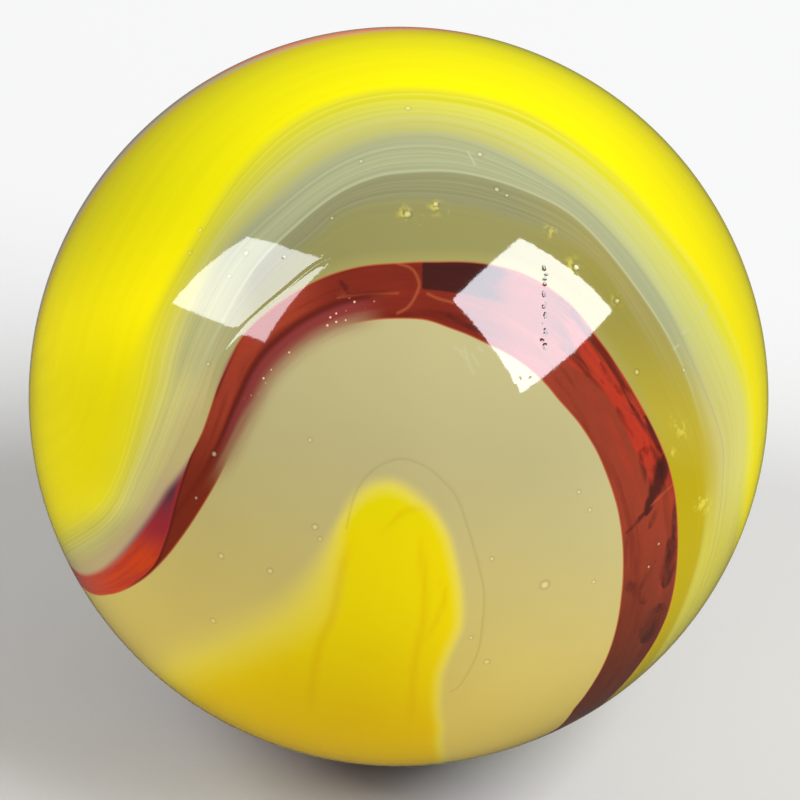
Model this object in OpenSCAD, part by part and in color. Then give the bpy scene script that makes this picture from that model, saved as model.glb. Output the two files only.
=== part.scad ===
// Glass marble: one ball of fused coloured glass with a swirl in its skin.
// The origin is the centre of the ball and +Z points up. Lengths are in millimetres.
// The pattern is laid out on the face, the part of the surface that looks forward and up.
// A place on the ball is a bearing round the face, counted from the right hand side towards
// the top, and an angle away from the middle of the face. A path is a chain of round arcs:
// each has a turn, which is its radius as an angle at the centre of the ball, and a sweep.

/* [Ball] */
// Diameter of the ball
ball_d = 16; // [12:0.5:26]
// Angle from the top of the ball down to the middle of the face
face_tilt = 50; // [0:5:90]

/* [Red ribbon] */
// Bearing of the ribbon's first end
ribbon_bearing = 209; // [195:1:225]
// Angle of that end away from the middle of the face
ribbon_angle = 85; // [75:1:95]
// Direction in which the ribbon sets out, clockwise from the way to the middle of the face
ribbon_heading = 19; // [10:1:28]
// Turn of the hook that opens the ribbon
hook_turn = 48; // [40:1:60]
// Sweep of the hook
hook_sweep = 84; // [60:1:100]
// Turn of the crown, the tight bend over the middle of the face
crown_turn = 34; // [28:1:45]
// Sweep of the crown
crown_sweep = 126; // [100:1:140]
// Turn of the flank, the long stretch down one side and under the ball
flank_turn = 70; // [60:1:80]
// Sweep of the flank
flank_sweep = 175; // [90:1:176]
// Turn of the tail, which comes up again behind the face
tail_turn = 75; // [60:1:85]
// Sweep of the tail
tail_sweep = 130; // [60:1:135]
// Width of the ribbon at both ends
ribbon_end_w = 0.75; // [0.4:0.05:1.5]
// Width of the ribbon where the hook meets the crown
ribbon_neck_w = 1; // [0.6:0.05:2]
// Width of the ribbon along the flank
ribbon_w = 1.7; // [0.8:0.05:2.4]

/* [Yellow swirl] */
// Bearing of the swirl's round head
swirl_bearing = 204; // [195:1:215]
// Angle of the head away from the middle of the face
swirl_angle = 60; // [55:1:65]
// Direction in which the swirl sets out, clockwise from the way to the middle of the face
swirl_heading = 274; // [265:1:280]
// Turn of the swirl
swirl_turn = 70; // [62:1:78]
// Sweep of the swirl
swirl_sweep = 236; // [180:1:250]
// Width of the swirl over the top of the ball
swirl_w = 4; // [3:0.1:4.1]
// Width of the swirl where it thins out
swirl_end_w = 1.6; // [0.8:0.1:3]

/* [Yellow tongue] */
// Bearing of the tongue's root
tongue_bearing = 262; // [255:1:270]
// Angle of the root away from the middle of the face
tongue_angle = 89; // [75:1:91]
// Direction in which the tongue sets out, clockwise from the way to the middle of the face
tongue_heading = 2; // [-10:1:10]
// Turn of the tongue
tongue_turn = 88; // [60:1:89]
// Length of the tongue from its root to the tip of its head
tongue_l = 10.4; // [6:0.2:11]
// Width of the tongue at its root
tongue_root_w = 5.2; // [2:0.1:6]
// Width of the tongue behind its head
tongue_w = 2.5; // [1.5:0.1:3]

/* [Surface marks] */
// Width of the creases where two folds of glass closed on each other
crease_w = 0.1; // [0.06:0.01:0.2]
// Depth of the creases
crease_depth = 0.03; // [0.01:0.005:0.05]
// Gap between the ribbon's outer edge and the crease beside it
ribbon_gap = 0.12; // [0:0.02:0.3]
// Share of the crown that the crease beside the ribbon follows, after the hook
ribbon_crease_share = 0.45; // [0.1:0.05:1]
// Bearing of the crease inside the ribbon's hook
hook_crease_bearing = 186; // [180:1:192]
// Angle of that crease's start away from the middle of the face
hook_crease_angle = 33; // [30:1:38]
// Direction in which that crease sets out, clockwise from the way to the middle of the face
hook_crease_heading = 110; // [100:1:120]
// Turn of that crease
hook_crease_turn = 40; // [32:1:50]
// Sweep of that crease
hook_crease_sweep = 62; // [30:1:70]
// Gap between the tongue and the crease round its head
tongue_gap = 0.7; // [0.3:0.05:1.2]
// Number of pits in the short row
pit_count = 9; // [1:1:12]
// Diameter of a pit
pit_d = 0.08; // [0.05:0.01:0.15]
// Distance from one pit to the next
pit_pitch = 0.18; // [0.16:0.01:0.4]

/* [Hidden] */
$fn = 144;
ball_r = ball_d / 2;
// Coloured glass dives this share of the radius below the surface
DIVE = 0.16;
// Cutting solids run past the surface to this many radii
PAST = 1.3;
// Distance along a path from one cross section to the next
STEP_L = 0.75;
FINE_STEP_L = 0.3;
HEAD_STEP_L = 0.18;
// Width left at the very tip of a round head
TIP_W = 0.04;
// A crease reaches its full depth this many cross sections from its ends.
RUN_OUT_STEPS = 4;
// Arcs of the crease round the tongue's head: sweep round the head, then turn and sweep beside it
TONGUE_CREASE_HEAD = 115;
TONGUE_CREASE_TURN = 32;
TONGUE_CREASE_SIDE = 80;
// Start and direction of the row of pits
PIT_BEARING = 40;
PIT_ANGLE = 30;
PIT_HEADING = 311;

CREAM = "#cfc088";
RED = "#9c3320";
YELLOW = "#ecdf00";

// Each arc is its turn, its side (1 left, -1 right) and its sweep.
RIBBON = [
    [hook_turn, 1, hook_sweep],
    [crown_turn, -1, crown_sweep],
    [flank_turn, -1, flank_sweep],
    [tail_turn, 1, tail_sweep]
];
RIBBON_WIDTHS = [ribbon_end_w, ribbon_neck_w, ribbon_w, ribbon_w, ribbon_end_w];
SWIRL = [
    [swirl_turn, -1, swirl_sweep / 2],
    [swirl_turn, -1, swirl_sweep / 2]
];
SWIRL_WIDTHS = [swirl_w, swirl_w, swirl_end_w];
TONGUE = [[tongue_turn, 1, sweep_of(tongue_l, tongue_turn)]];
TONGUE_WIDTHS = [tongue_root_w, tongue_w];

function unit(v) = v / norm(v);
function mix(a, b, share) = a + (b - a) * share;
function angle_of(length) = length / ball_r * 180 / PI;
function sweep_of(length, turn) = angle_of(length) / sin(turn);
function spin(v, axis, angle) =
    v * cos(angle) + cross(axis, v) * sin(angle) + axis * (axis * v) * (1 - cos(angle));

// A station is a point of the unit ball, the heading there and the width of what follows the path.
function station(bearing, angle, heading) =
    let (p = [sin(angle) * cos(bearing), sin(angle) * sin(bearing), cos(angle)],
         inward = unit([0, 0, 1] - p * p[2]))
    [p, spin(inward, p, -heading)];
function beside(s, offset) =
    s[0] * cos(angle_of(offset)) + cross(s[0], s[1]) * sin(angle_of(offset));
function advance(s, arc, share = 1) =
    let (axis = s[0] * cos(arc[0]) + cross(s[0], s[1]) * arc[1] * sin(arc[0]))
    [for (i = [0, 1]) spin(s[i], axis, arc[1] * arc[2] * share)];
function path(s, arcs, widths, step_l = STEP_L, i = 0) =
    i == len(arcs) ? [[s[0], s[1], widths[i]]] :
    let (n = ceil(arcs[i][2] * sin(arcs[i][0]) / angle_of(step_l)))
    concat(
        [for (k = [0:n - 1])
            let (at = advance(s, arcs[i], k / n))
            [at[0], at[1], mix(widths[i], widths[i + 1], k / n)]],
        path(advance(s, arcs[i]), arcs, widths, step_l, i + 1)
    );

// The width near a round head, whose tip is one of the path's own ends
function rounded(s, tip) =
    let (r = s[2] / 2,
         gone = min(r, norm(s[0] - tip) * ball_r))
    [s[0], s[1], max(TIP_W, 2 * sqrt(r * r - pow(r - gone, 2)))];

// A closed solid through cross sections that all have the same number of corners
module swept(sections) {
    corners = len(sections[0]);
    last = (len(sections) - 1) * corners;
    sides = [for (i = [0:len(sections) - 2], j = [0:corners - 1])
        let (a = i * corners + j,
             b = i * corners + (j + 1) % corners)
        each [[a, a + corners, b + corners], [a, b + corners, b]]];
    polyhedron(
        points = [for (section = sections) each section],
        faces = concat(
            [[for (j = [0:corners - 1]) j]],
            sides,
            [[for (j = [corners - 1:-1:0]) last + j]]
        )
    );
}

// Coloured glass that runs along a path, from the ball's surface down into it
module inlay(stations) {
    intersection() {
        sphere(ball_r);
        swept([for (s = stations)
            [for (corner = [[1, PAST], [-1, PAST], [-1, 1 - DIVE], [1, 1 - DIVE]])
                beside(s, corner[0] * s[2] / 2) * ball_r * corner[1]]]);
    }
}

// A fine groove along a path, which runs out at both ends
module crease(stations) {
    count = len(stations);
    swept([for (i = [0:count - 1])
        let (s = stations[i],
             share = min(1, (min(i, count - 1 - i) + 0.5) / RUN_OUT_STEPS),
             depth = crease_depth * share,
             half_w = s[2] * share)
        [beside(s, half_w) * (ball_r + depth),
         beside(s, -half_w) * (ball_r + depth),
         s[0] * (ball_r - depth)]]);
}

function ribbon_start() = station(ribbon_bearing, ribbon_angle, ribbon_heading);

module red_ribbon() {
    color(RED) inlay(path(ribbon_start(), RIBBON, RIBBON_WIDTHS));
}

module yellow_swirl() {
    start = station(swirl_bearing, swirl_angle, swirl_heading);
    color(YELLOW)
        inlay([for (s = path(start, SWIRL, SWIRL_WIDTHS)) rounded(s, start[0])]);
}

function tongue_path() =
    path(station(tongue_bearing, tongue_angle, tongue_heading), TONGUE, TONGUE_WIDTHS, HEAD_STEP_L);

module yellow_tongue() {
    stations = tongue_path();
    tip = stations[len(stations) - 1][0];
    color(YELLOW) inlay([for (s = stations) rounded(s, tip)]);
}

// The crease that runs just outside the ribbon, along the hook and on to the crown
module ribbon_crease() {
    crown_share = ribbon_crease_share;
    arcs = [RIBBON[0], [crown_turn, -1, crown_sweep * crown_share]];
    widths = [ribbon_end_w, ribbon_neck_w, mix(ribbon_neck_w, ribbon_w, crown_share)];
    crease([for (s = path(ribbon_start(), arcs, widths, FINE_STEP_L))
        [beside(s, s[2] / 2 + ribbon_gap), s[1], crease_w]]);
}

// The crease inside the hook, where the ribbon is folded over itself
module hook_crease() {
    start = station(hook_crease_bearing, hook_crease_angle, hook_crease_heading);
    crease(path(start, [[hook_crease_turn, -1, hook_crease_sweep]], [crease_w, crease_w], FINE_STEP_L));
}

// The crease that passes round the head of the tongue and down its right hand side
module tongue_crease() {
    stations = tongue_path();
    head = stations[len(stations) - 1 - round(tongue_w / 2 / HEAD_STEP_L)];
    radius = tongue_w / 2 + tongue_gap;
    start = [beside(head, radius), head[1]];
    arcs = [[angle_of(radius), -1, TONGUE_CREASE_HEAD], [TONGUE_CREASE_TURN, -1, TONGUE_CREASE_SIDE]];
    crease(path(start, arcs, [for (i = [0:2]) crease_w], FINE_STEP_L));
}

module pits() {
    start = station(PIT_BEARING, PIT_ANGLE, PIT_HEADING);
    for (i = [0:pit_count - 1])
        translate(advance(start, [90, 1, angle_of(i * pit_pitch)])[0] * ball_r)
            sphere(d = pit_d, $fn = 24);
}

module coloured_glass() {
    red_ribbon();
    yellow_swirl();
    yellow_tongue();
}

// The base glass fills what the coloured glass leaves of the ball.
module base_glass() {
    color(CREAM)
        difference() {
            sphere(ball_r);
            coloured_glass();
        }
}

module marble() {
    difference() {
        union() {
            base_glass();
            coloured_glass();
        }
        ribbon_crease();
        hook_crease();
        tongue_crease();
        pits();
    }
}

rotate([face_tilt, 0, 0]) marble();
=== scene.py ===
import math

import bmesh
import bpy
import numpy as np
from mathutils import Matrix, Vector


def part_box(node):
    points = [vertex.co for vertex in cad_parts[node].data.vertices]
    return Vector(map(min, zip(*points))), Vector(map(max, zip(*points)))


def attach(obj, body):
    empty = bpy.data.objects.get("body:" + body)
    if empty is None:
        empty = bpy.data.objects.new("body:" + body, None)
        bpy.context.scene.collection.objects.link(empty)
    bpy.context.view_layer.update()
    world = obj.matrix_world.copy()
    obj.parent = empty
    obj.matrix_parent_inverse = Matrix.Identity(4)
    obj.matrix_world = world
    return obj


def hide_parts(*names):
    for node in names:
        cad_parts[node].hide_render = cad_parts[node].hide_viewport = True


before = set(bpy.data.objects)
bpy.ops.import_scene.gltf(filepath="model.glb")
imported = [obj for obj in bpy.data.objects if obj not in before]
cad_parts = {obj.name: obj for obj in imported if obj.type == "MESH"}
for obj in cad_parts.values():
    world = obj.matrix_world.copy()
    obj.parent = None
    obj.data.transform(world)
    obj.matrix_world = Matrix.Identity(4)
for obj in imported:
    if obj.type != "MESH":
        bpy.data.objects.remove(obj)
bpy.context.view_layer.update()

# The ball in the model, in metres, and in the photograph, in pixels
LOW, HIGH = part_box("marble")
RADIUS = (HIGH[0] - LOW[0]) / 2
MM = 0.001
RADIUS_MM = RADIUS / MM
PHOTO_SIDE = 800
BALL_PX = (398.5, 396.5)
BALL_RADIUS_PX = 370.0
PX_MM = RADIUS_MM / BALL_RADIUS_PX

# The camera
CAMERA_ELEVATION = math.radians(40)
CAMERA_DISTANCE = 0.2
SENSOR_MM = 36

# The face frame: x to the right of the photograph, y up it and z towards the camera
FACE = np.array([
    [1, 0, 0],
    [0, math.sin(CAMERA_ELEVATION), math.cos(CAMERA_ELEVATION)],
    [0, -math.cos(CAMERA_ELEVATION), math.sin(CAMERA_ELEVATION)],
])

rng = np.random.default_rng(11)


# Places on the ball

def polar(bearing, angle):
    """A place by its bearing round the face and its angle from the face's middle, in degrees."""
    b = math.radians(bearing)
    return (angle * math.cos(b), angle * math.sin(b))


NEARNESS = RADIUS / CAMERA_DISTANCE
RIM_SHRINK = math.sqrt(1 - NEARNESS ** 2)
RIM_LIMIT = 0.9998              # a pixel further out counts as this share of the ball's radius


def px(x, y):
    """A place on the visible half by its pixel, as the camera sees it."""
    dx = (x - BALL_PX[0]) / BALL_RADIUS_PX
    dy = (BALL_PX[1] - y) / BALL_RADIUS_PX
    r = min(math.hypot(dx, dy), RIM_LIMIT) / RIM_SHRINK
    angle = math.asin(r / math.hypot(1, r * NEARNESS)) - math.atan(r * NEARNESS)
    return polar(math.degrees(math.atan2(dy, dx)), math.degrees(angle))


def on_ball(places):
    """Unit vectors in the face frame for places."""
    places = np.asarray(places, float).reshape(-1, 2)
    angle = np.radians(np.hypot(places[:, 0], places[:, 1]))
    bearing = np.arctan2(places[:, 1], places[:, 0])
    return np.stack([np.sin(angle) * np.cos(bearing), np.sin(angle) * np.sin(bearing), np.cos(angle)], 1)


def unit(v):
    return v / np.linalg.norm(v, axis=-1, keepdims=True)


def smooth(x, low, high):
    t = np.clip((x - low) / (high - low), 0, 1)
    return t * t * (3 - 2 * t)


class Line:
    """A smooth line on the ball. Lengths along it and to its left are in millimetres."""

    STEP = 0.08                 # between the points that make up the line
    CURVE_STEPS = 24            # from one given place to the next
    AT_ONCE = 8000              # vectors measured together, to save memory

    def __init__(self, points, closed=False):
        points = np.asarray(points, float)
        gaps = np.linalg.norm(np.diff(points, axis=0), axis=1)
        length = np.concatenate([[0], np.cumsum(gaps)]) * RADIUS_MM
        at = np.arange(0, length[-1], self.STEP)
        self.point = unit(np.stack([np.interp(at, length, points[:, i]) for i in range(3)], 1))
        self.along = at
        self.length = length[-1]
        ahead = np.gradient(self.point, axis=0)
        if closed:
            ahead[0] = ahead[-1] = self.point[1] - self.point[-1]
        self.ahead = unit(ahead)
        self.left = np.cross(self.point, self.ahead)

    @classmethod
    def through(cls, places, closed=False):
        """Smooth curve through places of the flat map round the middle of the face."""
        p = np.asarray(places, float)
        p = np.vstack([p[-1:], p, p[:2]]) if closed else np.vstack([2 * p[0] - p[1], p, 2 * p[-1] - p[-2]])
        t = np.linspace(0, 1, cls.CURVE_STEPS, endpoint=False)[:, None]
        parts = []
        for a, b, c, d in zip(p[:-3], p[1:-2], p[2:-1], p[3:]):
            parts.append(0.5 * (2 * b + (c - a) * t + (2 * a - 5 * b + 4 * c - d) * t ** 2
                                + (3 * b - a - 3 * c + d) * t ** 3))
        parts.append(p[-2][None])
        return cls(on_ball(np.vstack(parts)), closed)

    def measure(self, d):
        """How far along the line and to its left each unit vector lies."""
        along, left = np.empty(len(d)), np.empty(len(d))
        for part in np.array_split(np.arange(len(d)), len(d) // self.AT_ONCE + 1):
            v = d[part]
            k = np.argmax(v @ self.point.T, axis=1)
            along[part] = self.along[k] + RADIUS_MM * np.einsum("ij,ij->i", v, self.ahead[k])
            left[part] = RADIUS_MM * np.arcsin(np.clip(np.einsum("ij,ij->i", v, self.left[k]), -1, 1))
        return along, left

    def distance(self, d):
        along, left = self.measure(d)
        beyond = along - np.clip(along, 0, self.length)
        return np.hypot(left, beyond), along


# The red ribbon

# Its middle is a chain of round arcs: turn (the radius as an angle), side (1 left, -1 right), sweep.
RIBBON_START = (209, 85, 19)    # bearing, angle and heading, clockwise from the way to the middle
RIBBON_BEFORE = 16              # sweep by which it goes on behind the ball's left edge
RIBBON_ARCS = [(48, 1, 84), (34, -1, 126), (70, -1, 175), (75, 1, 130)]
RIBBON_WIDTHS = [0.75, 1.0, 1.7, 1.7, 0.75]
RIBBON_END_MM = 1.6             # length over which each end narrows to nothing
RIBBON_OUTER_PX = [
    (79, 573), (101, 569), (121, 550), (137, 530), (152, 509), (165, 488), (178, 473), (189, 457),
    (201.5, 433), (213, 400), (224.5, 365), (245, 331.6), (281, 301), (326.5, 275.5), (357, 266.6),
    (400, 262.8), (438, 261.5), (484, 262.8), (517, 270.4), (543, 283), (573.5, 306), (595, 334),
    (617, 365), (638.5, 400), (655, 430.6), (668, 461), (675.5, 492), (678, 522.5), (678, 553),
    (668, 614), (655, 642), (637, 668), (617, 691), (594, 711), (568, 724),
]
RIBBON_INNER_PX = [
    (84, 588.8), (107, 595), (127.5, 588.8), (148, 576), (168, 555.6), (183.7, 535), (199, 512),
    (217, 481.6), (229.6, 456), (245, 425.5), (257.6, 405), (270, 380), (288, 360), (319, 337),
    (357, 323), (400, 319), (425.5, 320), (451, 329), (484, 343), (539, 377.5), (558, 400),
    (578.6, 423), (596.4, 451), (609, 481.6), (617, 507), (622, 538), (623, 568), (620.7, 599),
    (615.6, 629.6), (604, 663), (591, 686), (573.5, 709), (553, 731.6),
]


def turned(v, axis, angle):
    return v * np.cos(angle) + np.cross(axis, v) * np.sin(angle) + axis * (axis @ v) * (1 - np.cos(angle))


ARC_STEPS = 120                 # points on each arc


def chain(start, before, arcs):
    """Points along a chain of arcs that sets out from start, and the length at which each arc ends."""
    bearing, angle, heading = start
    point = on_ball([polar(bearing, angle)])[0]
    inward = unit(np.array([0, 0, 1]) - point * point[2])
    ahead = turned(inward, point, -math.radians(heading))
    points, ends, length = [], [], 0.0
    for i, (turn, side, sweep) in enumerate(arcs):
        turn, sweep = math.radians(turn), math.radians(sweep)
        axis = point * math.cos(turn) + np.cross(point, ahead) * side * math.sin(turn)
        first = -math.radians(before) if i == 0 else 0
        steps = np.linspace(first, sweep, ARC_STEPS, endpoint=False)
        points += [turned(point, axis, side * a) for a in steps]
        length += (sweep - first) * math.sin(turn) * RADIUS_MM
        ends.append(length)
        point, ahead = turned(point, axis, side * sweep), turned(ahead, axis, side * sweep)
    return np.array(points + [point]), ends


ribbon_points, ribbon_ends = chain(RIBBON_START, RIBBON_BEFORE, RIBBON_ARCS)
ribbon_line = Line(ribbon_points)
CROWN_MM = ribbon_ends[0] + 5.5  # the length at which the ribbon reaches the crown's middle
CROWN_FADE_MM = 2.0             # the length over which the hook's colours end past it

# The cream lies inside the loop that hook, crown and flank make.
LOOP = Line(np.vstack([ribbon_points[:3 * ARC_STEPS], ribbon_points[:1]]), closed=True)


EDGE_BLEND_MM = 2.0             # length over which an edge comes back to the nominal width past its pixels
EDGE_SMOOTHING = 4              # steps on each side that an edge is smoothed over


def edge(line, pixels, side, nominal):
    """Distance of an edge from the ribbon's middle line, at each step along it."""
    along, left = line.measure(on_ball([px(*p) for p in pixels]))
    order = np.argsort(along)
    along, reach = along[order], side * left[order]
    at = np.concatenate([[along[0] - EDGE_BLEND_MM], along, [along[-1] + EDGE_BLEND_MM]])
    gap = np.concatenate([[0], reach - np.interp(along, line.along, nominal), [0]])
    table = nominal + np.interp(line.along, at, gap, left=0, right=0)
    kernel = np.exp(-np.linspace(-2, 2, 2 * EDGE_SMOOTHING + 1) ** 2)
    padded = np.pad(table, EDGE_SMOOTHING, mode="edge")
    return np.convolve(padded, kernel / kernel.sum(), mode="valid")


ribbon_nominal = np.interp(ribbon_line.along, [0] + ribbon_ends, RIBBON_WIDTHS) / 2
ribbon_outer = edge(ribbon_line, RIBBON_OUTER_PX, 1, ribbon_nominal)
ribbon_inner = edge(ribbon_line, RIBBON_INNER_PX, -1, ribbon_nominal)


def end_taper(along, line, length):
    """Share of the width that is left within this length of either end."""
    t = np.clip(np.minimum(along, line.length - along) / length, 0, 1)
    return np.sqrt(1 - (1 - t) ** 2)


# Limits of the other glasses

# Lines that run with the swirl, from the hook over the top and down the right: the limit of the
# full yellow, the start of the grey band, a pale line, and the start of the clear olive glass
YELLOW_LIMIT = [
    px(54, 533), px(86, 512), px(114, 472), px(134, 400), px(153, 325), px(196, 242), px(243, 171),
    px(300, 120), px(365, 95), px(440, 92), px(525, 113), px(610, 170), px(675, 243), px(716, 305),
    px(745, 375), px(750, 440), px(746, 482), px(740, 518), polar(333, 85), polar(328, 93)]
GREY_START = Line.through(
    [px(66, 556), px(108, 527), px(137, 474), px(165, 400), px(184, 330), px(224, 253), px(280, 197),
     px(340, 155), px(400, 137), px(470, 144), px(560, 189), px(616, 239), px(662, 302), px(697, 372),
     px(722, 440), px(723, 482), px(716, 537), px(702, 584), px(678, 632), px(660, 660)])
PALE_LINE = Line.through(
    [px(76, 562), px(122, 528), px(155, 470), px(184, 400), px(214, 335), px(254, 267), px(296, 224),
     px(334, 194), px(367, 178), px(400, 171), px(460, 171), px(525, 189), px(580, 220), px(640, 291),
     px(680, 358), px(704, 430), px(712, 482), px(708, 537), px(696, 584), px(674, 632), px(656, 660)])
OLIVE_START = Line.through(
    [px(84, 566), px(132, 530), px(166, 470), px(197, 400), px(225, 330), px(268, 275), px(310, 240),
     px(345, 211), px(400, 199), px(470, 205), px(540, 228), px(595, 262), px(635, 320), px(665, 375),
     px(690, 430), px(702, 482), px(701, 537), px(689, 584), px(669, 632), px(651, 660)])
YELLOW_INNER = Line.through(YELLOW_LIMIT)
YELLOW = Line.through(
    YELLOW_LIMIT + [
        polar(326, 99), polar(333, 104), polar(345, 105), polar(0, 103), polar(25, 102), polar(50, 98),
        polar(70, 92), polar(83, 83), polar(95, 79.5), polar(106, 78.5), polar(118, 78.5), polar(130, 79),
        polar(154, 81), polar(178, 86), polar(190, 88)],
    closed=True)

# A red streak that just shows at the top rim: its middle, half width and the length of its narrowing ends
RIM_STREAK = Line.through(
    [polar(126, 87), polar(114, 83.5), polar(105, 81.5), polar(96, 82), polar(87, 84), polar(74, 87)])
RIM_STREAK_HALF_MM = 0.5
RIM_STREAK_END_MM = 2.0

# The tongue: its soft outline, and the deeper core with a crisp edge
TONGUE = Line.through(
    [px(387, 484), px(370, 488), px(355, 500), px(340, 522), px(328, 548), px(311, 579), px(281, 609),
     px(230, 637), px(179, 658), px(140, 672), polar(222, 97), polar(238, 104), polar(255, 107),
     polar(270, 103), px(438, 764), px(440, 741), px(441, 728), px(438, 707), px(440, 679),
     px(445, 663), px(452, 647), px(460, 627), px(461, 599), px(456, 567), px(447, 535),
     px(433, 512), px(418, 499), px(402, 488)],
    closed=True)
# Lines of painted shade inside the tongue: the line and its half width
TONGUE_SHADE_LINES = [
    (Line.through([px(369, 542), px(383, 532), px(392, 523), px(401, 514), px(412, 509.5), px(424, 509.5),
                   px(433, 514), px(438, 521)]), 0.11),
    (Line.through([px(355, 530), px(344, 562), px(339, 585), px(332, 617), px(321, 641), px(314, 673),
                   px(309, 718)]), 0.17),
    (Line.through([px(419, 523), px(422, 558), px(425, 585), px(424, 615), px(419, 640), px(415, 663),
                   px(412, 695), px(411, 730)]), 0.14),
    (Line.through([px(435, 567), px(440, 581), px(445, 592), px(440, 613), px(431, 631),
                   px(419, 654)]), 0.10),
]
HOOK_FOLD = Line.through(
    [px(212, 400), px(204, 420), px(185, 470), px(176, 500), px(165, 540), px(150, 570), px(122, 592)])

# In the ribbon: the limit of its bright outer part on the flank, and thin bright lines with their half widths
FLANK_SPLIT = Line.through(
    [px(545, 330), px(561, 356), px(587, 378), px(609, 400), px(625, 429), px(638, 458), px(646, 483),
     px(648, 509), px(640, 545)])
GLINTS = [
    (Line.through([px(396, 263), px(412, 269), px(419, 283), px(416, 295), px(408, 307),
                   px(396, 314)]), 0.05),
    (Line.through([px(336, 298), px(363, 295), px(400, 293)]), 0.04),
    (Line.through([px(426, 293), px(440, 299), px(456, 303)]), 0.05),
    (Line.through([px(184, 478), px(176, 509), px(164, 538), px(152, 558)]), 0.05),
    (Line.through([px(650, 507), px(662, 495), px(676, 482)]), 0.03),
]
STREAK_END = 0.2                # share of a dark streak's width that is left at its ends
# Dark streaks in the ribbon: from, to, half width in pixels and strength
DARK_STREAKS_PX = [
    ((668, 452), (652, 500), 9, 1.0), ((656, 486), (646, 515), 5, 1.0), ((650, 508), (626, 534), 3, 0.7),
    ((630, 528), (624, 556), 3, 0.5), ((658, 508), (649, 529), 4, 0.5), ((616, 406), (634, 438), 4.5, 0.55),
    ((640, 450), (646, 484), 3.5, 0.6), ((646, 416), (662, 454), 5, 0.85), ((675, 498), (673, 552), 3.5, 0.6),
    ((674, 536), (664, 588), 8, 0.75), ((626, 580), (644, 604), 9, 0.45), ((664, 604), (642, 642), 11, 0.6),
    ((656, 560), (640, 590), 4, 0.5), ((600, 362), (622, 396), 3.5, 0.5), ((436, 310), (486, 334), 4.5, 0.5),
    ((340, 280), (349, 294), 3.5, 0.6), ((612, 350), (640, 392), 3, 0.5), ((628, 400), (652, 440), 3, 0.6),
]
# Short pale scratches and gold specks in the clear glass, in pixels
SCRATCHES_PX = [
    ((452, 346), (465, 353)), ((459, 352), (471, 363)), ((464, 345), (468, 360)), ((471, 352), (480, 367)),
    ((467, 362), (475, 375)), ((476, 345), (484, 353)), ((467, 150), (476, 166)), ((681, 334), (690, 329)),
    ((673, 350), (680, 344)), ((698, 318), (708, 303)),
]
SCRATCH_HALF_MM = 0.035
SCRATCHES = [(Line.through([px(*start), px(*end)]), SCRATCH_HALF_MM) for start, end in SCRATCHES_PX]
GOLD_PX = [
    (405, 213, 7), (418, 220, 4), (436, 207, 7), (444, 213, 4), (550, 231, 7), (572, 266, 9), (586, 290, 4),
    (617, 300, 6), (683, 430, 8), (675, 421, 6), (673, 452, 4), (703, 504, 9), (198, 229, 5), (184, 252, 4),
]

# Creases: line, width and depth of the groove, and width and depth of the soft valley round it
TONGUE_FOLD = Line.through(
    [px(346, 530), px(353, 500), px(362, 482), px(378, 467), px(401, 459), px(424, 466),
     px(442, 480), px(458, 500), px(470, 535), px(479, 567), px(484, 594), px(482, 627),
     px(477, 654), px(461, 684), px(449, 693)])
RIBBON_FOLD = Line.through(
    [px(196, 428), px(207, 392), px(219, 358), px(240, 330), px(262, 309), px(286, 289),
     px(309, 270), px(326, 260), px(350, 254)])
CREASES = [
    (RIBBON_FOLD, 0.10, 0.014, 0.26, 0.0025),
    (HOOK_FOLD, 0.10, 0.008, 0.30, 0.003),
    (TONGUE_FOLD, 0.09, 0.0016, 0.24, 0.0008),
]

# Bubbles and pits

# Seed bubbles: pixel and radius in pixels
BUBBLES_PX = [
    (214, 454, 4.5), (196, 498, 3), (221, 556, 4), (270, 571, 4), (315, 527, 4), (213, 621, 4),
    (545, 585, 6), (594, 582, 3), (471, 638, 3), (492, 559, 3), (579, 492, 3), (590, 510, 3),
    (659, 544, 3), (649, 567, 3), (576, 268, 4), (617, 301, 4), (637, 372, 4), (684, 370, 3),
    (480, 154, 4), (497, 189, 4), (507, 195, 3), (408, 108, 4), (408, 214, 5), (436, 204, 4),
    (200, 230, 3), (190, 253, 3), (208, 364, 3), (332, 218, 3), (361, 161, 3), (246, 253, 4),
    (229, 276, 3), (284, 257, 3), (320, 539, 3), (310, 440, 3), (519, 379, 3), (531, 379, 3),
    (487, 662, 4),
]
BUBBLE_DEPTH_MM = 0.004
LOOSE_BUBBLES = 90              # tried all over the ball, and kept behind the face
LOOSE_BUBBLE_MM = (0.03, 0.075)
FACE_START = 0.1                # least z of the face
PIT_FIRST_PX, PIT_LAST_PX, PIT_COUNT = (546, 264), (544, 350), 17
PIT_SCATTER_PX = (2.5, 2)
PIT_RADII_MM = (0.035, 0.06)
PIT_DEPTH_MM = 0.02

bubbles = [(on_ball([px(x, y)])[0], r * PX_MM) for x, y, r in BUBBLES_PX]
for _ in range(LOOSE_BUBBLES):
    v = unit(rng.normal(size=3))
    r = rng.uniform(*LOOSE_BUBBLE_MM)
    if v[2] < FACE_START:
        bubbles.append((v, r))
pit_row = np.linspace(PIT_FIRST_PX, PIT_LAST_PX, PIT_COUNT)
pits = on_ball([px(*(middle + rng.uniform(-1, 1, 2) * PIT_SCATTER_PX)) for middle in pit_row])
pit_radii = rng.uniform(*PIT_RADII_MM, PIT_COUNT)


def crease_share(line, along, run_out=1.0):
    return smooth(np.minimum(along, line.length - along), 0, run_out)


def bubble_ratio(d):
    """Distance to the nearest bubble's middle, as a share of that bubble's radius, 3 at most."""
    best = np.full(len(d), 3.0)
    for centre, r in bubbles:
        near = np.flatnonzero(d @ centre > 1 - (3 * r / RADIUS_MM) ** 2)
        gap = np.linalg.norm(d[near] - centre, axis=1) * RADIUS_MM / r
        best[near] = np.minimum(best[near], gap)
    return best


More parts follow.
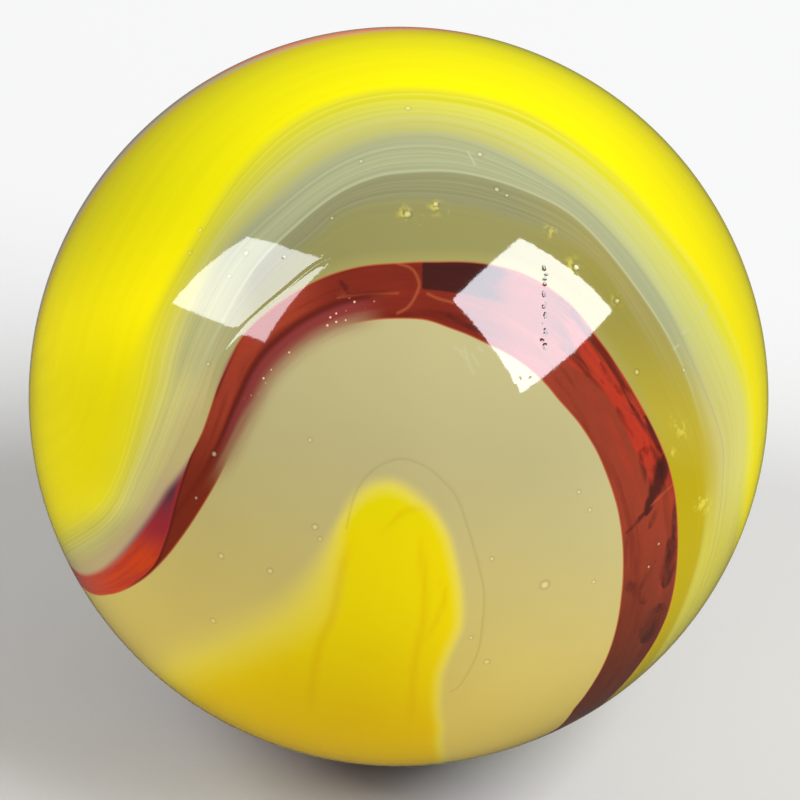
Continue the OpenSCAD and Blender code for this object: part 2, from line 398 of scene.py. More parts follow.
def pit_ratio(d):
    gaps = np.linalg.norm(d[:, None] - pits[None], axis=2) * RADIUS_MM
    return np.minimum(np.min(gaps / pit_radii, axis=1), 3)


WAVES, WAVE_TURNS, WAVE_HEIGHT_MM = 14, 5.0, 0.0007     # slow waves left by the rollers
INSET_MM = 0.004                # keeps the crests inside the solid's box


def relief(d):
    """Height of the surface over the plain ball, in millimetres."""
    height = np.zeros(len(d))
    for line, width, depth, soft_width, soft_depth in CREASES:
        gap, along = line.distance(d)
        share = crease_share(line, along)
        height -= share * depth * np.clip(1 - gap / (width / 2), 0, 1)
        height -= share * soft_depth * np.exp(-(gap / (soft_width / 2)) ** 2)
    height -= BUBBLE_DEPTH_MM * smooth(1 - bubble_ratio(d), 0, 1)
    height -= PIT_DEPTH_MM * smooth(1 - pit_ratio(d), 0, 1)
    for _ in range(WAVES):
        wave, phase = rng.normal(size=3) * WAVE_TURNS, rng.uniform(0, 2 * math.pi)
        height += WAVE_HEIGHT_MM * np.sin(d @ wave + phase)
    return height - INSET_MM


# The ball's mesh

CELLS = 100                     # along each edge of the cube that is blown up to the ball
FINE_CUTS = 3                   # extra cuts in the cells near creases, pits, bubbles and fine lines
FINE_MARGIN_MM = 0.04


def cube_ball(cells):
    """Unit vectors and outward quads of a cube blown up to a ball."""
    t = np.tan(np.linspace(-1, 1, cells + 1) * math.pi / 4)
    a, b = np.meshgrid(t, t, indexing="ij")
    one = np.ones_like(a)
    sides = []
    for axis in range(3):
        for sign in (-1, 1):
            v = np.stack([sign * one, a, b], -1)
            sides.append(np.roll(v, axis, axis=-1).reshape(-1, 3))
    points = unit(np.vstack(sides))
    _, first, back = np.unique(np.round(points, 6), axis=0, return_index=True, return_inverse=True)
    back = back.reshape(6, cells + 1, cells + 1)
    quads = np.stack([back[:, :-1, :-1], back[:, 1:, :-1], back[:, 1:, 1:], back[:, :-1, 1:]], -1)
    quads = quads.reshape(-1, 4)
    points = points[first]
    p = points[quads]
    inward = np.einsum("ij,ij->i", np.cross(p[:, 1] - p[:, 0], p[:, 2] - p[:, 0]), p[:, 0]) < 0
    quads[inward] = quads[inward][:, ::-1]
    return points, quads


def wants_detail(d):
    fine = np.zeros(len(d), bool)
    for line, width, *_ in CREASES:
        fine |= line.distance(d)[0] < width / 2 + FINE_MARGIN_MM
    for line, half in GLINTS + SCRATCHES:
        fine |= line.distance(d)[0] < half + FINE_MARGIN_MM
    return fine | (bubble_ratio(d) < 1.5) | (pit_ratio(d) < 2) | (dark_streaks(d) > 0.15)


def ball_mesh(name):
    points, quads = cube_ball(CELLS)
    mesh = bpy.data.meshes.new(name)
    mesh.from_pydata(points, [], quads)
    bm = bmesh.new()
    bm.from_mesh(mesh)
    bm.faces.ensure_lookup_table()
    centres = unit(points[quads].mean(axis=1))
    chosen = np.flatnonzero(wants_detail(centres))
    edges = list({e for i in chosen for e in bm.faces[i].edges})
    bmesh.ops.subdivide_edges(bm, edges=edges, cuts=FINE_CUTS, use_grid_fill=True)
    bmesh.ops.triangulate(bm, faces=[f for f in bm.faces if len(f.verts) > 4])
    bm.to_mesh(mesh)
    bm.free()
    coords = np.empty(len(mesh.vertices) * 3)
    mesh.vertices.foreach_get("co", coords)
    d = unit(coords.reshape(-1, 3))
    coords = (d * (RADIUS_MM + relief(d))[:, None]) @ FACE * MM
    mesh.vertices.foreach_set("co", coords.ravel())
    mesh.polygons.foreach_set("use_smooth", [True] * len(mesh.polygons))
    return mesh, d


def add_field(mesh, name, values):
    mesh.attributes.new(name, "FLOAT", "POINT").data.foreach_set("value", values.astype(np.float32))


def in_photo(d):
    """The pixel of each unit vector."""
    scale = BALL_RADIUS_PX * RIM_SHRINK / (1 - NEARNESS * d[:, 2])
    return np.stack([BALL_PX[0] + d[:, 0] * scale, BALL_PX[1] - d[:, 1] * scale], 1)


def dark_streaks(d):
    """Strength of the ribbon's dark streaks, which narrow and fade to their ends."""
    at = in_photo(d)
    shares = [np.zeros(len(d))]
    for start, end, half_width, strength in DARK_STREAKS_PX:
        way = np.subtract(end, start)
        t = np.clip((at - start) @ way / (way @ way), 0, 1)
        gap = np.linalg.norm(at - start - t[:, None] * way, axis=1)
        local = half_width * (STREAK_END + (1 - STREAK_END) * np.sqrt(1 - (2 * t - 1) ** 2))
        shares.append(strength * smooth(gap / local, 1.6, 0.2) * (d[:, 2] > 0))
    return np.max(shares, axis=0)


def gold_share(d):
    """1 in the middle of each group of gold specks, falling to 0 round it."""
    at = in_photo(d)
    shares = [smooth(np.linalg.norm(at - (x, y), axis=1) / r, 1.4, 0.2) for x, y, r in GOLD_PX]
    return np.max(shares, axis=0) * (d[:, 2] > 0)


def line_share(lines, d):
    """1 on any of the lines, falling to 0 at their half widths."""
    return np.max([smooth(line.distance(d)[0], half, 0) for line, half in lines], axis=0)


FAR_MM = 3.0                    # stands for any greater distance from the ribbon
LEAST_WIDTH_MM = 0.05           # of the ribbon, where its width divides


def add_fields(mesh, d):
    """What the material reads: distances in millimetres and shares, one value a vertex."""
    along, left = ribbon_line.measure(d)
    taper = end_taper(along, ribbon_line, RIBBON_END_MM)
    outer = np.interp(along, ribbon_line.along, ribbon_outer) * taper
    inner = np.interp(along, ribbon_line.along, ribbon_inner) * taper
    past = np.maximum(np.maximum(-along, along - ribbon_line.length), 0)
    out, into = left - outer, -left - inner
    add_field(mesh, "ribbon", np.hypot(np.maximum(np.maximum(out, into), 0), past)
              + np.minimum(np.maximum(out, into), 0))
    add_field(mesh, "ribbon_out", np.where((along > 0) & (np.abs(left) < FAR_MM), out, FAR_MM))
    width = np.maximum(outer + inner, LEAST_WIDTH_MM)
    add_field(mesh, "ribbon_across", np.clip((left + inner) / width, -1, 2))
    add_field(mesh, "ribbon_along", along)
    add_field(mesh, "yellow", YELLOW.measure(d)[1])
    add_field(mesh, "past_yellow", -YELLOW_INNER.measure(d)[1])
    add_field(mesh, "past_grey_start", -GREY_START.measure(d)[1])
    along, left = PALE_LINE.measure(d)
    add_field(mesh, "flow_along", along)
    add_field(mesh, "past_pale_line", -left)
    add_field(mesh, "past_olive_start", -OLIVE_START.measure(d)[1])
    add_field(mesh, "tongue", TONGUE.measure(d)[1])
    # The tongue's lines of painted shade
    shares = [line_share([(line, half)], d) * crease_share(line, line.measure(d)[0])
              for line, half in TONGUE_SHADE_LINES]
    add_field(mesh, "tongue_shade_lines", np.max(shares, axis=0))
    add_field(mesh, "inside", -LOOP.measure(d)[1])
    add_field(mesh, "flank_split", FLANK_SPLIT.measure(d)[1])
    add_field(mesh, "glints", line_share(GLINTS, d))
    add_field(mesh, "scratches", line_share(SCRATCHES, d))
    add_field(mesh, "gold", gold_share(d))
    gap, along = RIM_STREAK.distance(d)
    taper = end_taper(along, RIM_STREAK, RIM_STREAK_END_MM)
    add_field(mesh, "rim_streak", gap + RIM_STREAK_HALF_MM * (1 - taper))
    add_field(mesh, "dark", dark_streaks(d))
    add_field(mesh, "hook_fold", -HOOK_FOLD.measure(d)[1])
    add_field(mesh, "tongue_fold", TONGUE_FOLD.distance(d)[0])
    add_field(mesh, "bubble", bubble_ratio(d))
    add_field(mesh, "pit", pit_ratio(d))
    columns = (*d.T, d @ FACE[:, 2])
    for name, column in zip(("face_x", "face_y", "face_z", "height"), columns):
        add_field(mesh, name, column)


# Material

def srgb(r, g, b):
    """Linear colour from the 0 to 255 values that a screen shows."""
    def linear(c):
        c /= 255
        return c / 12.92 if c <= 0.04045 else ((c + 0.055) / 1.055) ** 2.4
    return (linear(r), linear(g), linear(b), 1.0)


class Nodes:
    """Short names for making one material's nodes."""

    LEAST_GAP_MM = 0.15         # between two lines, where their distance divides

    def __init__(self, name):
        self.material = bpy.data.materials.new(name)
        self.material.use_nodes = True
        self.tree = self.material.node_tree
        self.tree.nodes.clear()

    def make(self, kind, inputs, out=0, **settings):
        node = self.tree.nodes.new("ShaderNode" + kind)
        for key, value in settings.items():
            setattr(node, key, value)
        for key, value in inputs.items():
            socket = node.inputs[key]
            if isinstance(value, bpy.types.NodeSocket):
                self.tree.links.new(value, socket)
            else:
                socket.default_value = value
        return node.outputs[out]

    def field(self, name):
        return self.make("Attribute", {}, out="Fac", attribute_name=name)

    def math(self, operation, a, b=0.0, clamp=False):
        return self.make("Math", {0: a, 1: b}, operation=operation, use_clamp=clamp)

    def add(self, a, b):
        return self.math("ADD", a, b)

    def times(self, a, b):
        return self.math("MULTIPLY", a, b)

    def most(self, a, b):
        return self.math("MAXIMUM", a, b)

    def share(self, a, b):
        """How far a place is from one line to the next, 0 to 1, by its distances past the two."""
        gap = self.add(a, self.times(b, -1.0))
        return self.math("DIVIDE", a, self.most(gap, self.LEAST_GAP_MM), clamp=True)

    def off(self, a):
        return self.math("SUBTRACT", 1.0, a)

    def step(self, value, low, high):
        """0 below low, 1 above high and smooth between; low may be the larger."""
        return self.make("MapRange", {0: value, 1: low, 2: high, 3: 0.0, 4: 1.0},
                         interpolation_type="SMOOTHSTEP")

    def peak(self, value, middle, half_width):
        """1 where value is middle, falling to 0 half_width away."""
        gap = self.math("ABSOLUTE", self.add(value, -middle))
        return self.step(gap, half_width, 0.0)

    def vector(self, x, y, z=0.0):
        return self.make("CombineXYZ", {0: x, 1: y, 2: z})

    def noise(self, vector, scale, detail=2.0, roughness=0.5, distortion=0.0):
        return self.make("TexNoise", {"Vector": vector, "Scale": scale, "Detail": detail,
                                      "Roughness": roughness, "Distortion": distortion})

    def scaled(self, colour, factor):
        return self.make("VectorMath", {0: colour, 3: factor}, operation="SCALE")

    def dots(self, vector, scale):
        """Round dots, 1 in the middle."""
        gap = self.make("TexVoronoi", {"Vector": vector, "Scale": scale}, out="Distance")
        return self.step(gap, 0.16, 0.08)

    def ramp(self, value, stops, top):
        """Colours at values from 0 to top, smooth between."""
        node = self.tree.nodes.new("ShaderNodeValToRGB")
        self.tree.links.new(self.times(value, 1 / top), node.inputs[0])
        elements = node.color_ramp.elements
        for element, (at, colour) in zip(list(elements), (stops[0], stops[-1])):
            element.position, element.color = at / top, colour
        for at, colour in stops[1:-1]:
            elements.new(at / top).color = colour
        return node.outputs[0]

    def mix(self, a, b, share):
        return self.make("Mix", {0: share, 6: a, 7: b}, out=2, data_type="RGBA")


# Colours of the glasses, and of painted light and shade
BRIGHT_YELLOW = srgb(212, 197, 0)
TOP_YELLOW = srgb(191, 182, 0)
RIM_YELLOW = srgb(180, 168, 0)
DEEP_YELLOW = srgb(198, 176, 0)
LIMIT_YELLOW = srgb(172, 165, 30)
PALE_YELLOW = srgb(161, 157, 62)
TAN = srgb(144, 140, 80)
WHITE_GREEN = srgb(150, 150, 94)
GREY_GREEN = srgb(127, 128, 93)
MILKY = srgb(150, 152, 118)
GREY_OLIVE = srgb(107, 105, 72)
OLIVE_GREEN = srgb(110, 105, 60)
BROWN_OLIVE = srgb(121, 112, 61)
GOLD_OLIVE = srgb(115, 106, 46)
PALE_RIGHT = srgb(158, 153, 76)
PALE_OLIVE = srgb(128, 120, 66)
KHAKI_RIGHT = srgb(149, 140, 81)
LOW_PALE = srgb(149, 141, 52)
KHAKI_OLIVE = srgb(141, 128, 44)
OLIVE_YELLOW = srgb(135, 119, 10)
LIMIT_LEFT = srgb(192, 181, 26)
PALE_LEFT = srgb(180, 170, 56)
KHAKI_LEFT = srgb(168, 160, 92)
TAN_LEFT = srgb(158, 144, 92)
PINK_GREY = srgb(154, 132, 99)
GREY_MAUVE = srgb(188, 170, 128)
CREAM = srgb(146, 137, 94)
WARM_CREAM = srgb(173, 151, 68)
TONGUE_YELLOW = srgb(188, 168, 0)
TONGUE_EDGE = srgb(184, 168, 62)
# painted shade for the tongue's low part
LOW_SHADE_YELLOW = srgb(182, 149, 0)
SHADE_YELLOW = srgb(176, 138, 0)
GOLD = srgb(176, 164, 60)
BRICK = srgb(122, 44, 26)
FLANK_BRICK = srgb(112, 43, 26)
BROWN_RED = srgb(93, 28, 17)
HOOK_BROWN = srgb(92, 28, 12)
BRIGHT_RED = srgb(146, 38, 22)
DARK_RED = srgb(64, 14, 8)
NEAR_BLACK = srgb(35, 17, 15)
LOW_RED = srgb(70, 32, 19)
ORANGE_RED = srgb(164, 52, 14)
CRIMSON = srgb(122, 32, 38)
PINK_RED = srgb(150, 58, 42)
OUTLINE = srgb(156, 82, 46)
PLUM = srgb(104, 40, 36)
PURPLE = srgb(58, 38, 46)
LAVENDER = srgb(126, 94, 84)
SALMON = srgb(236, 140, 88)
SPECK = srgb(214, 170, 130)
BUBBLE_SHADE_RIM = srgb(40, 34, 20)
BUBBLE_HIGHLIGHT = srgb(196, 190, 140)
PIT_SHADE = srgb(30, 10, 10)
FOLD_SHADE = srgb(110, 96, 50)
BRIGHTEST = (0.93, 0.93, 0.93)  # no glass gives back more light
WISPS_PER_MM = (0.1, 0.45, 0.45)    # on the far side, drawn out along x

# Colours from the yellow's limit, 0, to the ribbon, 4, in four parts of the face
BANDS = 4
TOP_BANDS = [
    (0.05, LIMIT_YELLOW), (0.4, PALE_YELLOW), (0.85, TAN), (1.05, GREY_GREEN), (1.9, GREY_GREEN),
    (2.15, GREY_OLIVE), (2.9, GREY_OLIVE), (3.2, OLIVE_GREEN)]
RIGHT_BANDS = [
    (0.05, LIMIT_YELLOW), (0.35, PALE_YELLOW), (0.75, WHITE_GREEN), (1.1, GREY_GREEN), (1.9, GREY_GREEN),
    (2.1, BROWN_OLIVE), (2.8, BROWN_OLIVE), (3.1, GOLD_OLIVE)]
LOW_RIGHT_BANDS = [
    (0.0, LIMIT_YELLOW), (0.25, PALE_RIGHT), (1.1, KHAKI_RIGHT), (2.0, KHAKI_OLIVE), (3.1, OLIVE_YELLOW)]
LEFT_BANDS = [(0.0, LIMIT_LEFT), (0.5, PALE_LEFT), (1.2, KHAKI_LEFT), (3.0, TAN_LEFT)]


def swirl_glass():
    n = Nodes("swirl_glass")
    place = n.make("TexCoord", {}, out="Object")
    place = n.scaled(place, 1 / MM)
    # Places on the face, as shares of the ball's radius
    x, y = n.field("face_x"), n.field("face_y")

    # How far a place is from the yellow's limit, 0, over the three other lines to the ribbon, 4
    past_yellow, past_grey_start = n.field("past_yellow"), n.field("past_grey_start")
    past_pale_line, past_olive_start = n.field("past_pale_line"), n.field("past_olive_start")
    ribbon_out = n.field("ribbon_out")
    band = n.add(n.share(past_yellow, past_grey_start), n.share(past_grey_start, past_pale_line))
    band = n.add(band, n.share(past_pale_line, past_olive_start))
    band = n.add(band, n.share(past_olive_start, n.times(ribbon_out, -1.0)))

    # Streaks that run with the swirl
    along = n.field("flow_along")
    broad = n.noise(n.vector(n.times(along, 0.06), n.times(band, 1.6), 3.7), 1.0, 3.0, 0.5)
    arcs = n.noise(n.vector(n.times(along, 0.07), n.times(band, 9.0)), 1.0, 4.0, 0.65)
    fine = n.noise(n.vector(n.times(along, 0.12), n.times(past_yellow, 3.0), 1.9), 1.0, 4.0, 0.6, 0.2)
    cloud = n.noise(place, 0.35, 3.0, 0.55, 0.3)

    # Inside the ribbon: cream, warmer low down and to the left
    warm = n.step(n.add(n.times(y, -0.95), n.times(x, -0.2)), 0.0, 1.0)
    cream = n.mix(CREAM, WARM_CREAM, warm)
    cream = n.scaled(cream, n.add(0.94, n.times(cloud, 0.12)))
    cream = n.scaled(cream, n.add(1.0, n.times(n.times(n.step(x, 0.1, 0.6), n.step(y, -0.2, -0.6)), -0.13)))

    # Outside it, from the yellow's limit: pale yellow, grey green, grey olive, and olive at the ribbon
    place_in_band = n.add(band, n.times(n.add(arcs, -0.5), 1.2))
    top = n.ramp(place_in_band, TOP_BANDS, BANDS)
    right = n.ramp(place_in_band, RIGHT_BANDS, BANDS)
    low_right = n.ramp(place_in_band, LOW_RIGHT_BANDS, BANDS)
    left = n.ramp(place_in_band, LEFT_BANDS, BANDS)
    low_right = n.mix(low_right, LOW_PALE, n.times(n.step(band, 3.0, 2.2), n.step(y, -0.15, -0.45)))
    khaki = n.times(n.step(band, 2.4, 3.1), n.times(n.step(y, -0.25, -0.05), 0.6))
    low_right = n.mix(low_right, KHAKI_OLIVE, khaki)
    ground = n.mix(top, right, n.step(x, 0.25, 0.6))
    ground = n.mix(ground, low_right, n.times(n.step(y, 0.25, -0.1), n.step(x, 0.3, 0.6)))
    ground = n.mix(ground, left, n.times(n.step(x, -0.35, -0.5), n.step(y, 0.45, 0.1)))
    upper_left = n.times(n.step(x, -0.35, -0.45), n.times(n.step(y, -0.02, 0.12), n.step(y, 0.45, 0.2)))
    ground = n.mix(ground, GREY_GREEN, n.times(upper_left, n.times(n.step(band, 0.5, 1.5), 0.55)))
    hook_top = n.times(n.step(x, -0.58, -0.68), n.step(y, -0.27, -0.36))
    ground = n.mix(ground, BROWN_OLIVE, n.times(hook_top, 0.32))
    contrast = n.times(n.step(band, 3.6, 2.6), n.add(0.9, n.times(n.step(x, 0.3, 0.6), -0.45)))
    ground = n.scaled(ground, n.add(1.0, n.times(n.add(arcs, -0.5), contrast)))
    pale_line = n.times(n.peak(past_pale_line, 0.02, 0.06), n.times(n.step(y, -0.2, 0.2), 0.5))
    ground = n.mix(ground, MILKY, pale_line)
    dull_line = n.times(n.peak(past_grey_start, 0.0, 0.05), n.times(n.step(x, -0.3, 0.4), 0.3))
    ground = n.mix(ground, GREY_OLIVE, dull_line)
    beside_ribbon = n.times(n.step(ribbon_out, 0.35, 0.0), n.times(n.step(y, -0.2, 0.1), 0.5))
    ground = n.mix(ground, PALE_OLIVE, beside_ribbon)
    grains = n.step(n.noise(place, 6.0, 2.0, 0.6), 0.45, 0.6)
    ground = n.mix(ground, GOLD, n.times(n.times(n.field("gold"), grains), 0.55))

    # Full yellow, with painted shade deepening it towards its far limit by the rim; behind it the glass is
    # cloudy again
    yellow = n.mix(BRIGHT_YELLOW, TOP_YELLOW, n.step(y, 0.2, 0.6))
    yellow = n.mix(yellow, DEEP_YELLOW, n.step(n.add(broad, n.times(cloud, 0.4)), 0.7, 0.95))
    yellow = n.mix(yellow, DEEP_YELLOW, n.times(n.step(y, 0.0, -0.3), 0.3))
    lobe = n.times(n.step(x, -0.45, -0.7), n.step(y, 0.25, -0.05))
    yellow = n.scaled(yellow, n.add(1.0, n.times(lobe, -0.18)))
    yellow = n.mix(yellow, RIM_YELLOW, n.step(x, 0.5, 1.0))
    yellow = n.scaled(yellow, n.add(0.94, n.times(fine, 0.12)))
    from_edge = n.field("yellow")
    # Painted shade: the yellow darkens near its outer limit, at the rim
    rim_shade = n.times(n.step(past_yellow, -1.0, -2.0), n.step(from_edge, 1.0, 0.1))
    yellow = n.mix(yellow, DEEP_YELLOW, rim_shade)
    wisps = n.make("VectorMath", {0: place, 1: WISPS_PER_MM}, operation="MULTIPLY")
    wisps = n.noise(wisps, 1.0, 4.0, 0.6, 0.4)
    behind = n.mix(CREAM, PALE_YELLOW, n.times(n.step(wisps, 0.42, 0.66), 0.5))
    behind = n.mix(GREY_MAUVE, behind, n.step(from_edge, -0.3, -2.5))
    far_side = n.step(n.field("face_z"), -0.05, -0.3)
    ground = n.mix(ground, behind, n.most(n.step(past_yellow, -0.9, -1.6), far_side))
    low_rim = n.times(n.step(x, 0.6, 0.85), n.step(y, 0.1, -0.2))
    swirl = n.step(n.add(from_edge, n.times(n.add(fine, -0.5), 0.24)), n.add(-0.12, n.times(lobe, -0.3)),
                   n.add(0.3, n.times(n.add(lobe, n.times(low_rim, 0.4)), 0.5)))
    outside = n.mix(ground, yellow, swirl)
    outside = n.mix(outside, SALMON, n.times(n.step(n.field("rim_streak"), RIM_STREAK_HALF_MM, 0.3), 0.85))

    # The tongue: soft on its left, firmer on its right, with darker lines of painted shade inside and painted
    # shade low down
    tongue = n.field("tongue")
    leftness = n.step(x, 0.0, -0.2)
    headness = n.times(n.step(y, -0.32, -0.24), 0.1)
    leftness = n.times(leftness, n.step(y, -0.3, -0.6))
    softness = n.add(n.add(0.2, headness), n.times(leftness, 0.7))
    edge = n.math("DIVIDE", n.add(tongue, n.times(leftness, -0.1)), softness)
    inside = n.mix(cream, TONGUE_EDGE, n.step(edge, -0.9, 0.5))
    tongue_yellow = n.mix(TONGUE_YELLOW, RIM_YELLOW, n.step(y, -0.4, -0.22))
    inside = n.mix(inside, tongue_yellow, n.step(edge, -0.3, 1.3))
    # Painted shade: the tongue turns darker and more orange low down
    low = n.step(n.add(n.times(y, -1.0), n.times(cloud, 0.2)), 0.6, 1.05)
    inside = n.mix(inside, LOW_SHADE_YELLOW, n.times(low, n.step(edge, -0.4, 1.4)))
    # Painted shade along the tongue's lines
    inside = n.mix(inside, SHADE_YELLOW, n.times(n.field("tongue_shade_lines"), 0.45))

    # Which side of the ribbon
    ribbon_edge = n.field("ribbon")
    across, run = n.field("ribbon_across"), n.field("ribbon_along")
    merge = n.add(0.1, n.times(far_side, 1.5))
    colour = n.mix(outside, inside, n.step(n.field("inside"), n.times(merge, -1.0), merge))
    near_end = n.step(run, CROWN_MM + CROWN_FADE_MM, CROWN_MM)
    beside_hook = n.times(n.step(x, -0.5, -0.6), n.times(n.step(y, -0.15, -0.25), near_end))
    beside_hook = n.times(n.peak(ribbon_out, 0.0, 0.5), beside_hook)
    colour = n.mix(colour, PINK_GREY, n.times(beside_hook, 0.7))

    # The ribbon: brick on its left, brown over the top and half bright on the flank
    streaks = n.noise(n.vector(n.times(run, 0.3), n.times(across, 4.0), 9.1), 1.0, 4.0, 0.6, 0.3)
    flecks = n.noise(n.vector(n.times(run, 1.2), n.times(across, 3.5), 5.3), 1.0, 3.0, 0.6, 0.5)
    red = n.mix(BRICK, FLANK_BRICK, n.step(x, 0.3, 0.45))
    red = n.mix(red, BROWN_RED, n.times(n.step(x, -0.3, -0.15), n.step(x, 0.35, 0.2)))
    flank = n.times(n.step(n.field("flank_split"), -0.03, 0.05), n.step(x, 0.36, 0.46))
    flank = n.times(flank, n.step(y, -0.34, -0.12))
    red = n.mix(red, BRIGHT_RED, n.times(flank, n.times(n.step(streaks, 0.35, 0.55), 0.75)))
    red = n.mix(red, LOW_RED, n.times(n.step(y, -0.25, -0.8), n.step(x, 0.3, 0.5)))
    red = n.mix(red, DARK_RED, n.times(n.step(streaks, 0.5, 0.34), n.add(0.3, n.times(flank, 0.4))))
    red = n.mix(red, BRIGHT_RED, n.times(n.step(streaks, 0.56, 0.76), 0.25))
    red = n.mix(red, DARK_RED, n.times(n.step(flecks, 0.55, 0.68), n.times(flank, 0.6)))
    block = n.times(n.times(n.step(x, 0.056, 0.066), n.step(x, 0.34, 0.2)), n.step(across, 0.48, 0.56))
    grain = n.noise(n.vector(n.times(run, 1.6), n.times(across, 6.0), 2.2), 1.0, 3.0, 0.6, 0.4)
    dark = n.most(n.field("dark"), block)
    dark = n.times(n.step(n.add(dark, n.times(n.add(grain, -0.5), 1.3)), 0.2, 0.95), n.step(dark, 0.0, 0.3))
    red = n.mix(red, NEAR_BLACK, n.times(dark, 0.85))
    red = n.scaled(red, n.add(0.85, n.times(grain, 0.3)))
    red = n.mix(red, OUTLINE, n.times(n.field("glints"), 0.4))

    # Left of the top it is folded: a dark line, and plum that fades out at the inner edge
    left_part = n.times(n.times(n.step(x, -0.02, -0.14), n.step(y, -0.26, -0.14)), near_end)
    inner = n.times(n.step(across, 0.5, 0.4), left_part)
    red = n.mix(red, PLUM, inner)
    dark_line = n.times(n.peak(across, 0.44, 0.13), n.times(n.step(x, 0.02, -0.1), near_end))
    red = n.mix(red, DARK_RED, n.times(dark_line, 0.75))
    sparkle = n.times(n.dots(place, 5.0), n.step(ribbon_edge, 0.0, -0.1))
    red = n.mix(red, SPECK, n.times(sparkle, n.times(inner, 0.8)))
    hook = n.times(n.step(x, -0.38, -0.48), near_end)
    red = n.mix(red, HOOK_BROWN, n.times(n.times(n.step(y, -0.02, -0.24), hook), 0.85))
    red = n.mix(red, DARK_RED, n.times(n.step(y, -0.4, -0.52), n.times(hook, 0.6)))

    # The hook: a bright sheet beyond the fold, purple at its tip and soft at its outer edge
    sheet = n.times(n.step(n.field("hook_fold"), -0.02, 0.02), hook)
    drop = n.add(n.times(y, -1.0), n.times(x, -0.25))
    sheet_red = n.mix(CRIMSON, ORANGE_RED, n.step(n.add(drop, n.times(streaks, 0.1)), 0.55, 0.66))
    sheet_red = n.mix(sheet_red, CRIMSON, n.times(n.step(streaks, 0.52, 0.36), 0.4))
    sheet_red = n.mix(sheet_red, PINK_RED, n.step(x, -0.74, -0.86))
    tip = n.times(n.step(drop, 0.5, 0.38), n.step(n.field("hook_fold"), 0.02, 0.14))
    sheet_red = n.mix(sheet_red, PURPLE, n.times(tip, 0.9))
    sheet_red = n.mix(sheet_red, LAVENDER, n.times(n.step(ribbon_out, -0.18, 0.0), n.step(x, -0.82, -0.72)))
    sheet_red = n.mix(sheet_red, BRIGHT_RED, n.times(n.field("glints"), 0.5))
    red = n.mix(red, sheet_red, sheet)
    red = n.mix(red, DARK_RED, n.times(n.peak(n.field("hook_fold"), -0.03, 0.06), n.times(hook, 0.6)))

    # The ribbon's rim: crisp with a thin bright outline, but soft on the fold's inside and on the sheet
    crisp = n.step(ribbon_edge, 0.015, -0.015)
    fading = n.step(n.add(ribbon_edge, n.times(n.add(streaks, -0.5), 0.3)), 0.34, -0.3)
    soft = n.times(n.step(ribbon_out, 0.06, -0.09), n.most(crisp, n.step(ribbon_out, -0.2, -0.1)))
    ribbon = n.add(n.times(inner, fading), n.times(n.off(inner), crisp))
    outer_sheet = n.times(sheet, n.step(across, 0.4, 0.6))
    ribbon = n.add(n.times(ribbon, n.off(outer_sheet)), n.times(soft, outer_sheet))
    outline = n.step(n.math("ABSOLUTE", ribbon_edge), 0.045, 0.01)
    outline = n.times(outline, n.times(n.off(inner), n.off(outer_sheet)))
    red = n.mix(red, OUTLINE, n.times(outline, 0.65))
    colour = n.mix(colour, red, ribbon)

    # Bubbles, with a painted shade ring and a painted highlight in the middle; pits, painted dark as shade;
    # pale scratches; and painted shade along the fold round the tongue
    bubble = n.field("bubble")
    # Painted light on the bubbles: a shaded ring and a light middle
    colour = n.mix(colour, BUBBLE_SHADE_RIM, n.times(n.peak(bubble, 0.85, 0.3), 0.17))
    colour = n.mix(colour, BUBBLE_HIGHLIGHT, n.times(n.step(bubble, 0.7, 0.2), 0.4))
    # Painted shade: the pits are darkened
    colour = n.mix(colour, PIT_SHADE, n.times(n.step(n.field("pit"), 1.0, 0.6), 0.8))
    colour = n.mix(colour, MILKY, n.times(n.field("scratches"), 0.6))
    colour = n.mix(colour, FOLD_SHADE, n.times(n.step(n.field("tongue_fold"), 0.05, 0.0), 0.22))

    # Light that enters above comes out below, so the underside is brightened, and the left a little
    gain = n.add(1.0, n.times(n.step(n.field("height"), 0.6, -0.6), 0.9))
    gain = n.add(gain, n.times(n.times(n.step(x, 0.0, -0.5), n.step(y, 0.5, 0.1)), 0.1))
    colour = n.scaled(colour, gain)
    colour = n.make("VectorMath", {0: colour, 1: BRIGHTEST}, operation="MINIMUM")

    unevenness = n.noise(place, 2.2, 3.0, 0.6)
    bump = n.make("Bump", {"Strength": 0.05, "Distance": 0.00002, "Height": unevenness})
    shader = n.make("BsdfPrincipled", {
        "Base Color": colour, "Roughness": 0.04, "IOR": 1.5, "Normal": bump,
    })
    output = n.tree.nodes.new("ShaderNodeOutputMaterial")
    n.tree.links.new(shader, output.inputs["Surface"])
    return n.material


mesh, directions = ball_mesh("marble_glass")
add_fields(mesh, directions)
mesh.materials.append(swirl_glass())
marble = bpy.data.objects.new("marble_glass", mesh)
bpy.context.scene.collection.objects.link(marble)
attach(marble, "root")
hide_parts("marble")

# Floor, light and camera

FLOOR_HALF = 3.0
FLOOR_COLOUR = (0.43, 0.42, 0.395, 1)
floor_mesh = bpy.data.meshes.new("floor")
floor_mesh.from_pydata(
    [(-FLOOR_HALF, -FLOOR_HALF, LOW[2]), (FLOOR_HALF, -FLOOR_HALF, LOW[2]),
     (FLOOR_HALF, FLOOR_HALF, LOW[2]), (-FLOOR_HALF, FLOOR_HALF, LOW[2])], [], [(0, 1, 2, 3)])
floor = bpy.data.objects.new("floor", floor_mesh)
bpy.context.scene.collection.objects.link(floor)
paper = Nodes("floor_paper")
paper_shader = paper.make(
    "BsdfPrincipled", {"Base Color": FLOOR_COLOUR, "Roughness": 0.9, "Specular IOR Level": 0.1})
paper.tree.links.new(paper_shader, paper.tree.nodes.new("ShaderNodeOutputMaterial").inputs["Surface"])
floor_mesh.materials.append(paper.material)

SOFTBOX_COLOUR = (0.95, 0.98, 1.07)
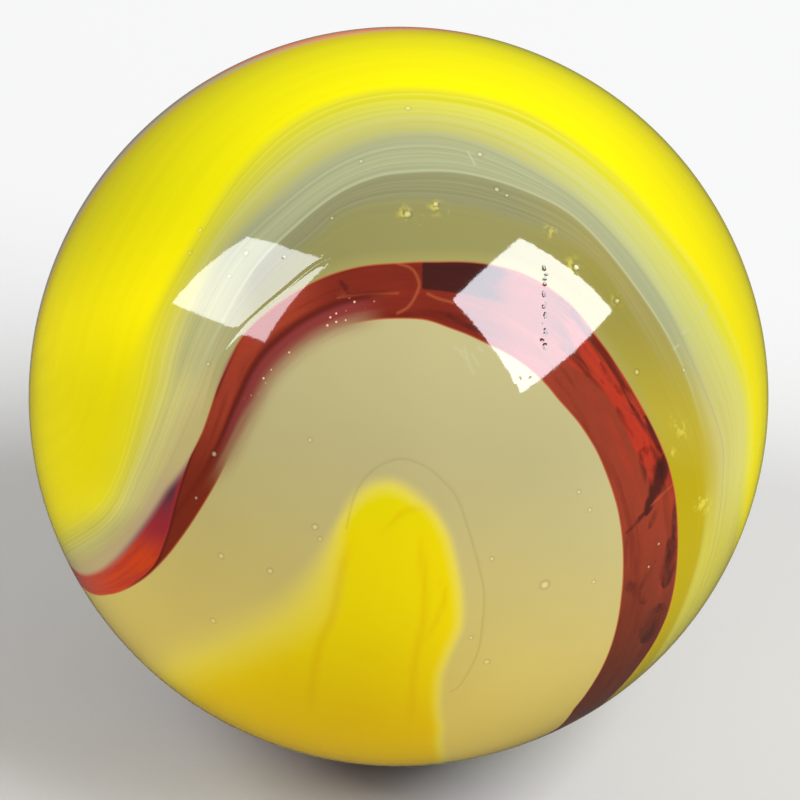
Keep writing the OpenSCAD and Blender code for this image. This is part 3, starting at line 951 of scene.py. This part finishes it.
# Each softbox: name, place, turn in degrees, width, height and radiance
SOFTBOXES = [
    ("softbox_left", (-0.339, 0.004, 0.367), (16.6, 75.4, -111.1), 0.313, 0.322, 10.3),
    ("softbox_right", (0.309, -0.086, 0.384), (-71.2, 0.5, -125.5), 0.332, 0.341, 15.6),
]
for name, place, turn, width, height, radiance in SOFTBOXES:
    light = bpy.data.lights.new(name, "AREA")
    light.shape, light.size, light.size_y = "RECTANGLE", width, height
    light.energy = radiance * math.pi * width * height
    light.color = SOFTBOX_COLOUR
    lamp = bpy.data.objects.new(name, light)
    lamp.location = place
    lamp.rotation_euler = [math.radians(angle) for angle in turn]
    bpy.context.scene.collection.objects.link(lamp)

# The glass mirrors the softboxes and little else
FILL_GLOW, MIRRORED_GLOW = 0.45, 0.07
floor.visible_glossy = False
world = bpy.data.worlds.new("studio")
world.use_nodes = True
sky = world.node_tree
path = sky.nodes.new("ShaderNodeLightPath")
glow = sky.nodes.new("ShaderNodeMapRange")
sky.links.new(path.outputs["Is Glossy Ray"], glow.inputs["Value"])
glow.inputs["To Min"].default_value = FILL_GLOW
glow.inputs["To Max"].default_value = MIRRORED_GLOW
sky.links.new(glow.outputs["Result"], sky.nodes["Background"].inputs["Strength"])
sky.nodes["Background"].inputs["Color"].default_value = (1, 1, 1, 1)
bpy.context.scene.world = world
bpy.context.scene.view_settings.view_transform = "Standard"

camera = bpy.data.cameras.new("camera")
camera.sensor_width = SENSOR_MM
ball_half_angle = math.asin(RADIUS / CAMERA_DISTANCE)
camera.lens = BALL_RADIUS_PX / math.tan(ball_half_angle) / PHOTO_SIDE * SENSOR_MM
camera.shift_x = (PHOTO_SIDE / 2 - BALL_PX[0]) / PHOTO_SIDE
camera.shift_y = (BALL_PX[1] - PHOTO_SIDE / 2) / PHOTO_SIDE
camera.clip_start, camera.clip_end = 0.01, 10
viewer = bpy.data.objects.new("camera", camera)
viewer.location = Vector(FACE[2]) * CAMERA_DISTANCE
viewer.rotation_euler = (math.pi / 2 - CAMERA_ELEVATION, 0, 0)
bpy.context.scene.collection.objects.link(viewer)
bpy.context.scene.camera = viewer
